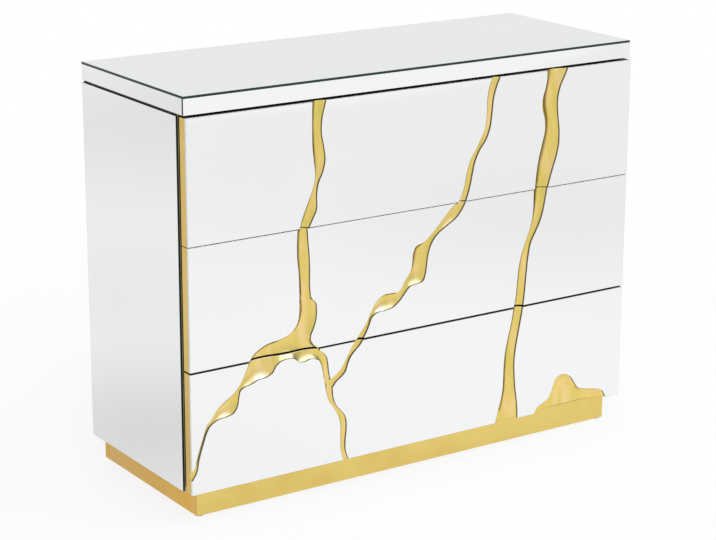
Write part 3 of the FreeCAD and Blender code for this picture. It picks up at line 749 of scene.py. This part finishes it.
def groove_depths(across, levels, shares, sizes):
    """Depth of the carving at each point of the fronts, from the bottom front up.

    It is the membrane's rise times the full depth, with the carver's waves where it is deep. One
    membrane spans all the fronts and the gaps between them, whose rows go evenly from one front's
    edge to the next, so that a groove is as deep above a gap as below it.
    """
    rise_step = levels[0][1] - levels[0][0]
    rows = [shares[0]]
    for below, above, under, over in zip(levels, levels[1:], shares, shares[1:]):
        count = round((above[0] - below[-1]) / rise_step)
        part = np.linspace(0, 1, count + 1)[1:-1, None]
        rows += [under[-1] * (1 - part) + over[0] * part, over]
    rise = sprung_membrane(
        np.concatenate(rows), across[1] - across[0], sizes.groove_reach, sizes.groove_drift)
    arches = np.split(rise, np.cumsum([len(part) for part in rows])[:-1])[::2]
    return [
        np.where(share > 0, sizes.groove_depth + sizes.ripple * carver_waves(across, level), 0)
        * arch for level, share, arch in zip(levels, shares, arches)
    ]


def outline_of_block(size):
    """Rows and columns of the points round a square block of a grid, in order."""
    zero, full, up = np.zeros(size, int), np.full(size, size), np.arange(size)
    return np.concatenate([zero, up, full, size - up]), np.concatenate([up, full, size - up, zero])


def relief_faces(worked, block):
    """Faces over a grid of points: small quads in each block with worked points, and a single
    polygon over every other block, which takes in the points of the small quads beside it. The
    points along the four edges come with them, in order round the grid."""
    rows, columns = worked.shape
    cells = worked[:-1, :-1] | worked[1:, :-1] | worked[:-1, 1:] | worked[1:, 1:]
    blocks = cells.reshape((rows - 1) // block, block, (columns - 1) // block, block)
    blocks = blocks.any(axis=(1, 3))
    fine = blocks.repeat(block, axis=0).repeat(block, axis=1)
    quads = grid_faces(rows, columns).reshape(rows - 1, columns - 1, 4)[fine]
    used = np.zeros(worked.shape, bool)
    used[::block, ::block] = True
    used.reshape(-1)[quads] = True
    row, column = np.nonzero(~blocks)
    down, along = outline_of_block(block)
    rings = (row[:, None] * block + down) * columns + column[:, None] * block + along
    keep = used.reshape(-1)[rings]
    plates = [ring[kept] for ring, kept in zip(rings, keep)]
    number = np.arange(used.size).reshape(used.shape)
    edges = (number[0], number[:, -1], number[-1, ::-1], number[::-1, 0])
    return quads, plates, [edge[used.reshape(-1)[edge]] for edge in edges]


def grid_line(low, high, spacing):
    """Even points from low to high, a whole number of blocks of them."""
    return np.linspace(low, high, CARVED_BLOCK * int((high - low) / spacing / CARVED_BLOCK) + 1)


def carved_board(name, front, across, level, depth, ease):
    """A drawer's front board: a face that sinks into the grooves, plain sides and eased back.

    The face is the function depth(across, level) over a grid. Each side is one polygon from
    the face's rim to the back, whose edge is a quarter circle of the ease's radius. The ends
    are a darker gold as painted shade, and the top and bottom are stained dark as painted shade
    in the gaps, so that the gaps look even.
    """
    low, high = front
    face = np.stack(np.broadcast_arrays(across[None, :], low.y + depth, level[:, None]), axis=-1)
    quads, plates, rim = relief_faces(depth > 0, CARVED_BLOCK)
    face = face.reshape(-1, 3)

    bend = np.linspace(0, math.pi / 2, 4)[:, None]
    x, z, inward_x, inward_z = np.transpose([
        (low.x, low.z, 1, 1), (high.x, low.z, -1, 1), (high.x, high.z, -1, -1),
        (low.x, high.z, 1, -1),
    ])
    inset = ease * (1 - np.cos(bend))
    back = np.stack(np.broadcast_arrays(
        x + inward_x * inset, high.y - ease + ease * np.sin(bend), z + inward_z * inset,
    ), axis=-1).reshape(-1, 3)
    behind = len(face) + np.arange(len(back)).reshape(-1, 4)
    sides = [
        [edge[0], behind[0, side], behind[0, (side + 1) % 4], *edge[:0:-1]]
        for side, edge in enumerate(rim)
    ]
    bands = grid_faces(len(bend), 4, closed=True, start=len(face))[:, ::-1]
    faces = [*quads, *bands, *plates, *sides, behind[-1, ::-1]]

    vertices = np.concatenate([face, back])
    kept, number = np.unique(np.concatenate(faces), return_inverse=True)
    ends = np.cumsum([len(corners) for corners in faces])[:-1]
    faces = [corners.tolist() for corners in np.split(number, ends)]
    board = surface_object(name, vertices[kept], faces)
    smooth = np.arange(len(faces)) < len(quads) + len(bands)
    dress(board, "carved gold", "shaded board end gold", "stained")
    towards = abs(normals_of(board))
    # The ends take the darker gold and the top and bottom the dark stain: both painted shade, the
    # stain standing for the shade in the gaps between the fronts.
    slots = np.where(towards[:, 0] > NEARLY_FLAT, 1, np.where(towards[:, 2] > FLAT, 2, 0))
    slots[:len(quads)] = 0
    set_slots(board, slots, smooth)
    return board


class CHEST_OT_front_boards(bpy.types.Operator):
    """Carve the gold front boards of the drawers"""

    bl_idname = "chest.front_boards"
    bl_label = "Carved Front Boards"

    def execute(self, context):
        sizes = context.scene.chest_sizes
        spacing = sizes.carving_step
        fronts = [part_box(drawer + "_front_board") for drawer in DRAWERS]
        across = grid_line(fronts[0][0].x, fronts[0][1].x, spacing)
        levels = [grid_line(low.z, high.z, spacing) for low, high in fronts]
        shares = []
        for drawer, front, level in zip(DRAWERS, fronts, levels):
            rings = [vein_ring(vein, front, sizes.bank_samples) for vein in VEINS[drawer]]
            shares.append(carved_share(across, level, rings, sizes))
        depths = groove_depths(across, levels, shares, sizes)
        for drawer, front, level, depth in zip(DRAWERS, fronts, levels, depths):
            board = carved_board(drawer + "_carved_front", front, across, level, depth,
                                 sizes.eased_edge)
            stand_in(board, drawer, "gold_lacquered_board", drawer + "_front_board")
        return {"FINISHED"}


# ---- panes
def vein_prism(ring, y_front, y_back):
    """A prism through the glass, whose outline is the vein's ring of (x, z)."""
    count = len(ring)
    ends = [np.insert(ring, 1, y, axis=1) for y in (y_front, y_back)]
    walk = np.arange(count)
    after = (walk + 1) % count
    sides = np.stack([walk, after, after + count, walk + count], axis=1).tolist()
    faces = sides + [walk[::-1].tolist(), (walk + count).tolist()]
    return outward(surface_object("vein_cutter", np.concatenate(ends), faces, smooth=False))


def cut_sheet(name, front, y_front, rings):
    """The sheet of glass over a front with every vein cut out of it."""
    low, high = front
    corners = [
        (x, y, z) for x in (low.x, high.x) for y in (y_front, low.y) for z in (low.z, high.z)
    ]
    sheet = outward(surface_object(name, corners, [
        (0, 1, 3, 2), (4, 6, 7, 5), (0, 4, 5, 1), (2, 3, 7, 6), (0, 2, 6, 4), (1, 5, 7, 3),
    ], smooth=False))
    proud = 2 * MM
    for ring in rings:
        prism = vein_prism(ring, y_front - proud, low.y + proud)
        cut = sheet.modifiers.new("vein", "BOOLEAN")
        cut.operation = "DIFFERENCE"
        cut.solver = "EXACT"
        cut.object = prism
        applied(sheet)
        bpy.data.objects.remove(prism)
    return sheet


# A pane's edges are rounded where its faces turn by more than this.
PANE_TURN = math.radians(40)


def loose_parts(piece):
    """The piece's separate parts, each an object of its own."""
    bpy.ops.object.select_all(action="DESELECT")
    piece.select_set(True)
    bpy.context.view_layer.objects.active = piece
    bpy.ops.mesh.separate(type="LOOSE")
    return list(bpy.context.selected_objects)


def middle_of(piece):
    """The middle of the box round a piece's mesh."""
    places = read_out(piece.data.vertices, "co")
    return Vector(((places.min(0) + places.max(0)) / 2).tolist())


def finish_pane(pane, front, sizes, polished):
    """Round a pane's edges, and silver its face. Its edge is dark at a vein, and at a bottom or
    top that polished leaves out as painted shade. It is pale as painted highlight at the sides of
    the front and where polished says so for the bottom and the top."""
    dress(pane, "silver", "vein edge", "pale edge, painted highlight", "backing")
    rounded(pane, sizes.arris, limit_method="ANGLE", angle_limit=PANE_TURN, material=1)
    normals, centres = normals_of(pane), read_out(pane.data.polygons, "center")
    slots = np.full(len(normals), 1)
    for axis, end in ((0, 0), (0, 1), *((2, end) for end in polished)):
        outer = abs(centres[:, axis] - front[end][axis]) < 2 * sizes.arris
        slots[outer & (abs(normals[:, axis]) > HALF_ROUND)] = 2
    slots[normals[:, 1] < -FLAT] = 0
    slots[normals[:, 1] > FLAT] = 3
    set_slots(pane, slots, abs(normals[:, 1]) < FLAT)


class CHEST_OT_panes(bpy.types.Operator):
    """Cut the mirror panes of the drawer fronts round the veins"""

    bl_idname = "chest.panes"
    bl_label = "Mirror Panes"
    # Each drawer's level edges that are pale as painted highlight, the others dark as painted
    # shade in the gaps: 0 for the bottom, 1 for the top.
    PALE_LEVEL_EDGES = {"bottom_drawer": (), "middle_drawer": (1,), "top_drawer": (0, 1)}

    def execute(self, context):
        sizes = context.scene.chest_sizes
        for drawer in DRAWERS:
            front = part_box(drawer + "_front_board")
            nodes = sorted(node for node in NODES if node.startswith(drawer + "_pane_"))
            y_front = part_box(nodes[0])[0].y
            rings = [vein_ring(vein, front, sizes.bank_samples) for vein in VEINS[drawer]]
            parts = loose_parts(cut_sheet(drawer + "_glass", front, y_front, rings))
            if len(parts) != len(nodes):
                raise RuntimeError(f"{drawer} has {len(parts)} panes in place of {len(nodes)}")
            for node in nodes:
                low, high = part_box(node)
                place = (low + high) / 2
                pane = min(parts, key=lambda part: (middle_of(part) - place).length)
                parts.remove(pane)
                pane.name = node + "_mirror"
                finish_pane(pane, front, sizes, self.PALE_LEVEL_EDGES[drawer])
                stand_in(pane, drawer, "mirror_glass", node)
        return {"FINISHED"}


# ---- mirror sheets
# How much broader the top's rounded edge is than the other mirrors'.
TOP_ARRIS = 1.5


def mirror_sheet(name, low, high, facing, arris):
    """A sheet of mirror glass with ground edges, silvered towards its facing direction."""
    sheet = eased_block(name, low, high, arris)
    dress(sheet, "silver", "cut edge", "backing")
    towards = normals_of(sheet) @ np.array(facing, np.float32)
    slots = np.where(towards > FLAT, 0, np.where(towards < -FLAT, 2, 1))
    set_slots(sheet, slots, abs(towards) < FLAT)
    return sheet


class CHEST_OT_mirror_sheets(bpy.types.Operator):
    """Cover the top, its edges and the sides with mirror glass"""

    bl_idname = "chest.mirror_sheets"
    bl_label = "Mirror Sheets"

    def execute(self, context):
        arris = context.scene.chest_sizes.arris
        low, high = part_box("top_edge_mirrors")
        core_low, core_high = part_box("top_board")
        y = core_low.y
        sheets = [
            ("top_sheet", "top_mirror", *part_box("top_mirror"), (0, 0, 1), TOP_ARRIS * arris),
        ]
        for node, x in (("side_mirror_left", -1), ("side_mirror_right", 1)):
            sheets.append((node + "_sheet", node, *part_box(node), (x, 0, 0), arris))
        # The front strip covers the ends of the two side strips.
        for side, near, far, facing in (
            ("front", low, (high.x, y, high.z), (0, -1, 0)),
            ("left", (low.x, y, low.z), (core_low.x, high.y, high.z), (-1, 0, 0)),
            ("right", (core_high.x, y, low.z), high, (1, 0, 0)),
        ):
            sheets.append(("top_edge_" + side, "top_edge_mirrors", near, far, facing, arris))
        for name, node, *shape in sheets:
            stand_in(mirror_sheet(name, *shape), "carcass", "mirror_glass", node)
        return {"FINISHED"}


# ---- plinth, glides, carcass and drawers
class CHEST_OT_plinth(bpy.types.Operator):
    """Round the edges of the plinth's gold boards"""

    bl_idname = "chest.plinth"
    bl_label = "Gold Plinth"

    def execute(self, context):
        sizes = context.scene.chest_sizes
        for side in ("front", "back", "left", "right"):
            node = "plinth_" + side
            board = eased_block(node + "_board", *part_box(node), sizes.eased_edge)
            # The ends take the darker gold, as painted shade of the sides.
            dress(board, "plinth gold", "shaded plinth end gold")
            set_slots(board, abs(normals_of(board)[:, 0]) > HALF_ROUND)
            stand_in(board, "carcass", "gold_lacquered_board", node)
        eased_copy("plinth_corner_blocks", "carcass", "carcass_board", "birch along x",
                   sizes.board_edge)
        return {"FINISHED"}


# A glide's radius, and its profile from the foot up in shares of its radius and of the height
# of the glides' node. That height takes in the pin, so the glide's upper part is in the plinth.
GLIDE_RADIUS = 10 * MM
GLIDE_PROFILE = (
    (0, 0), (0.55, 0), (0.8, 0.04), (0.95, 0.2), (1, 0.45), (1, 0.85), (0.97, 1), (0, 1),
)


class CHEST_OT_glides(bpy.types.Operator):
    """Turn the clear glides under the plinth"""

    bl_idname = "chest.glides"
    bl_label = "Glides"

    def execute(self, context):
        low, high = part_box("glides")
        profile = np.array(GLIDE_PROFILE) * (GLIDE_RADIUS, high.z - low.z)
        places = [
            (x, y, low.z) for x in (low.x + GLIDE_RADIUS, high.x - GLIDE_RADIUS)
            for y in (low.y + GLIDE_RADIUS, high.y - GLIDE_RADIUS)
        ]
        for number, place in enumerate(places, 1):
            glide = outward(lathe("glide_" + str(number), profile, place))
            dress(glide, "clear nylon")
            stand_in(glide, "carcass", "clear_nylon", "glides")
        return {"FINISHED"}


class CHEST_OT_carcass(bpy.types.Operator):
    """Finish the carcass boards, rails and back"""

    bl_idname = "chest.carcass"
    bl_label = "Carcass"

    def execute(self, context):
        edge = context.scene.chest_sizes.board_edge
        stained = ("top_board", "bottom_board", "cross_rails", "side_board_left",
                   "side_board_right")
        for node in stained:
            board = eased_copy(node, "carcass", "carcass_board", "stained", edge)
            if node.startswith("side"):
                # Their front edges take gold darkened to an olive brown, as painted shade of the
                # slot behind the fronts.
                dress(board, "stained", "shaded gold edge")
                set_slots(board, normals_of(board)[:, 1] < -WHOLE_ROUND)
        eased_copy("back_panel", "carcass", "carcass_board", "hardboard", edge)
        carried("carcass_screws", "zinc screw")
        return {"FINISHED"}


class CHEST_OT_drawer_boxes(bpy.types.Operator):
    """Finish the drawer boxes in birch, with the grain along each board"""

    bl_idname = "chest.drawer_boxes"
    bl_label = "Drawer Boxes"

    def execute(self, context):
        edge = context.scene.chest_sizes.board_edge
        boards = (("front", "x"), ("back", "x"), ("bottom", "x"), ("side_left", "y"),
                  ("side_right", "y"))
        for drawer in DRAWERS:
            for board, axis in boards:
                eased_copy(drawer + "_box_" + board, drawer, "drawer_board",
                           "birch along " + axis, edge)
            carried(drawer + "_screws", "zinc screw")
        return {"FINISHED"}


class CHEST_OT_runners(bpy.types.Operator):
    """Finish the telescopic runners and their rebound units"""

    bl_idname = "chest.runners"
    bl_label = "Runners"

    def execute(self, context):
        edge = context.scene.chest_sizes.metal_edge
        eased_copy("runner_cabinet_members", "carcass", "zinc_steel", "zinc runner", edge)
        eased_copy("runner_rebound_units", "carcass", "grey_nylon", "nylon", edge)
        carried("runner_screws", "zinc screw")
        for drawer in DRAWERS:
            for part, body in (("members", drawer), ("middles", drawer + "_middles")):
                eased_copy(drawer + "_runner_" + part, body, "zinc_steel", "zinc runner", edge)
        return {"FINISHED"}


# ---- stage
# Soft lamps: name, place, side of the square, watts.
SOFTBOXES = (
    ("key_lamp", (-1.6, -2.6, 3.4), 1.6, 40.0),
    ("fill_lamp", (2.8, -2.4, 2.2), 1.8, 24.0),
    ("top_lamp", (0.9, -0.9, 3.4), 1.9, 30.0),
    ("back_lamp", (1.2, 3.4, 2.6), 2.0, 24.0),
)
LAMP_TARGET = Vector((0, 0, 0.4))

# What mirrors and gold show of the floor, painted as patches of shade and light: middle and
# radius of a round patch in metres, the share of the radius over which it fades in, and its
# tone outside and inside. The tones are multiplied. The dark patch close to the chest's left
# side is painted shade of the chest.
FLOOR_PAINTED_SHADES = (
    ((0.2, -0.55), 2.2, 1.0, 0.91, 0.985),
    ((1.8, -6.12), 3.1, 0.05, 1.0, 1.07),
    ((-2.4, 2.7), 1.6, 1.0, 1.0, 0.87),
    ((-0.68, 0.25), 0.7, 1.0, 1.0, 0.79),
    ((-1.1, 1.1), 0.8, 1.0, 1.0, 0.97),
    ((1.35, -1.5), 1.0, 1.0, 1.0, 0.955),
    ((4.12, 0.8), 3.4, 0.1, 1.0, 0.35),
)
# The share of the floor that shows as white light, as one more patch. The rest, under and round
# the chest, is the lit floor with its shadow.
FLOOR_GLOW = ((0, 0), 3.2, 1.0, 1.0, 0.84)
# What mirrors and gold show of the walls and ceiling over the sky: the middle of a round patch
# as a direction, the cosines of the angles from there at which it starts and is full, and its
# light. The first is the dark end of the room and the second a screen lit by blue daylight.
WALL_LIGHTS = (
    ((0.97, -0.17, 0.15), 0.62, 0.95, (0.25, 0.26, 0.255)),
    ((0.50, -0.54, 0.68), 0.85, 0.97, (1.75, 2.1, 5.0)),
)
WHITE = (1.0, 1.0, 1.0)


def seen_directly(nodes):
    """Two outputs: 1 for light that goes to the camera, a mirror or clear plastic, and 1 for
    light that goes to a mirror. Both are 0 for the rest."""
    rays = nodes.node("LightPath", {}).outputs
    either = rays["Is Camera Ray"]
    for ray in ("Is Glossy Ray", "Is Transmission Ray"):
        either = nodes.worked_out("MAXIMUM", either, rays[ray])
    return either, rays["Is Glossy Ray"]


def round_patch(finish, middle, radius, soft, rim, core):
    """A tone over the floor: core inside a round patch with a soft edge, rim outside it."""
    x, y = middle
    place = finish.node("Mapping", {
        "Scale": (1 / radius,) * 3, "Location": (-x / radius, -y / radius, 0),
        "Vector": finish.place,
    }, vector_type="POINT")
    patch = finish.node(
        "TexGradient", {"Vector": place.outputs["Vector"]}, gradient_type="SPHERICAL")
    return finish.node("MapRange", {
        "From Max": soft, "To Min": rim, "To Max": core, "Value": patch.outputs["Fac"],
    }, interpolation_type="SMOOTHSTEP").outputs["Result"]


def floor_finish():
    """A pale floor that shows as white, and in the mirrors as soft patches of painted shade and
    light, and keeps a shadow.
    """
    finish = Finish("pale studio floor", {
        "base_color": (0.86, 0.86, 0.86), "roughness": 0.9, "specular_ior_level": 0.0})
    visible, glossy = seen_directly(finish)
    reflected, *others = [round_patch(finish, *patch) for patch in FLOOR_PAINTED_SHADES]
    for other in others:
        reflected = finish.worked_out("MULTIPLY", reflected, other)
    strength = finish.mixed(glossy, 1.0, reflected, "FLOAT")
    glow = finish.node("Emission", {"Strength": strength})
    share = finish.worked_out("MULTIPLY", visible, round_patch(finish, *FLOOR_GLOW))
    lit = finish.shader.outputs["BSDF"]
    mix = finish.node("MixShader", {"Fac": share, 1: lit, 2: glow.outputs["Emission"]})
    surface = finish.tree.nodes["Material Output"].inputs["Surface"]
    finish.feed(surface, mix.outputs["Shader"])
    return finish.material


def make_world(stage):
    """Even light from all round; the camera sees white, and mirrors see a pale sky."""
    world = bpy.data.worlds.new("studio")
    bpy.context.scene.world = world
    world.use_nodes = True
    nodes = Nodes(world.node_tree)
    visible, glossy = seen_directly(nodes)
    direction = nodes.node("TexCoord", {}).outputs["Generated"]
    reflected = tuple(stage.sky)
    for middle, start, full, light in WALL_LIGHTS:
        towards = nodes.node("VectorMath", {0: direction, 1: middle}, operation="DOT_PRODUCT")
        patch = nodes.node("MapRange", {
            "From Min": start, "From Max": full, "Value": towards.outputs["Value"],
        }, interpolation_type="SMOOTHSTEP")
        reflected = nodes.mixed(patch.outputs["Result"], reflected, light)
    seen = nodes.mixed(glossy, WHITE, reflected)
    even = nodes.mixed(visible, (stage.ambient,) * 3, seen)
    nodes.feed(nodes.tree.nodes["Background"].inputs["Color"], even)


def make_floor(stage):
    """The floor, as a single large square."""
    half = stage.floor_size / 2
    corners = [(-half, -half, 0), (half, -half, 0), (half, half, 0), (-half, half, 0)]
    floor = surface_object("studio_floor", corners, [(0, 1, 2, 3)], smooth=False)
    floor.data.materials.append(floor_finish())


def make_lamps():
    """Square soft lamps that all face the chest."""
    for name, place, side, watts in SOFTBOXES:
        light = bpy.data.lights.new(name, "AREA")
        light.size = side
        light.energy = watts
        lamp = placed(name, light)
        lamp.location = place
        lamp.rotation_mode = "QUATERNION"
        lamp.rotation_quaternion = (LAMP_TARGET - Vector(place)).to_track_quat("-Z", "Y")
        lamp.visible_camera = False
        lamp.visible_glossy = False


def make_camera(stage):
    """The camera: turned from looking back, pitched down, and rolled about its line of sight."""
    lens = bpy.data.cameras.new("camera")
    lens.sensor_width = 36.0
    lens.lens = stage.lens
    camera = placed("camera", lens)
    facing = (
        Matrix.Rotation(-stage.camera_yaw, 3, "Z")
        @ Matrix.Rotation(math.pi / 2 - stage.camera_pitch, 3, "X")
        @ Matrix.Rotation(stage.camera_roll, 3, "Z")
    )
    camera.rotation_euler = facing.to_euler()
    camera.location = stage.camera_place
    bpy.context.scene.camera = camera


class CHEST_OT_stage(bpy.types.Operator):
    """Set up the floor, the soft lamps and the camera"""

    bl_idname = "chest.stage"
    bl_label = "Stage"

    def execute(self, context):
        stage = context.scene.chest_stage
        context.scene.view_settings.view_transform = "Standard"
        make_world(stage)
        make_floor(stage)
        make_lamps()
        make_camera(stage)
        return {"FINISHED"}


# ---- panel and registration
STEPS = (
    CHEST_OT_front_boards,
    CHEST_OT_panes,
    CHEST_OT_mirror_sheets,
    CHEST_OT_plinth,
    CHEST_OT_glides,
    CHEST_OT_carcass,
    CHEST_OT_drawer_boxes,
    CHEST_OT_runners,
    CHEST_OT_stage,
)


class CHEST_PT_panel(bpy.types.Panel):
    """Sizes, colours and steps of the chest"""

    bl_label = "Mirror Chest"
    bl_space_type = "VIEW_3D"
    bl_region_type = "UI"
    bl_category = "Chest"

    def draw(self, context):
        layout = self.layout
        scene = context.scene
        for group in (scene.chest_sizes, scene.chest_colours, scene.chest_stage):
            box = layout.box()
            for name in group.bl_rna.properties.keys():
                if name not in ("rna_type", "name"):
                    box.prop(group, name)
        for step in STEPS:
            layout.operator(step.bl_idname)


GROUPS = {"chest_sizes": ChestSizes, "chest_colours": ChestColours, "chest_stage": ChestStage}
register_classes, unregister_classes = bpy.utils.register_classes_factory(
    (*GROUPS.values(), *STEPS, CHEST_PT_panel))


def register():
    register_classes()
    for name, group in GROUPS.items():
        setattr(bpy.types.Scene, name, PointerProperty(type=group))


def unregister():
    for name in GROUPS:
        delattr(bpy.types.Scene, name)
    unregister_classes()


def main():
    register()
    for step in STEPS:
        group, name = step.bl_idname.split(".")
        getattr(getattr(bpy.ops, group), name)()


if __name__ == "__main__":
    main()
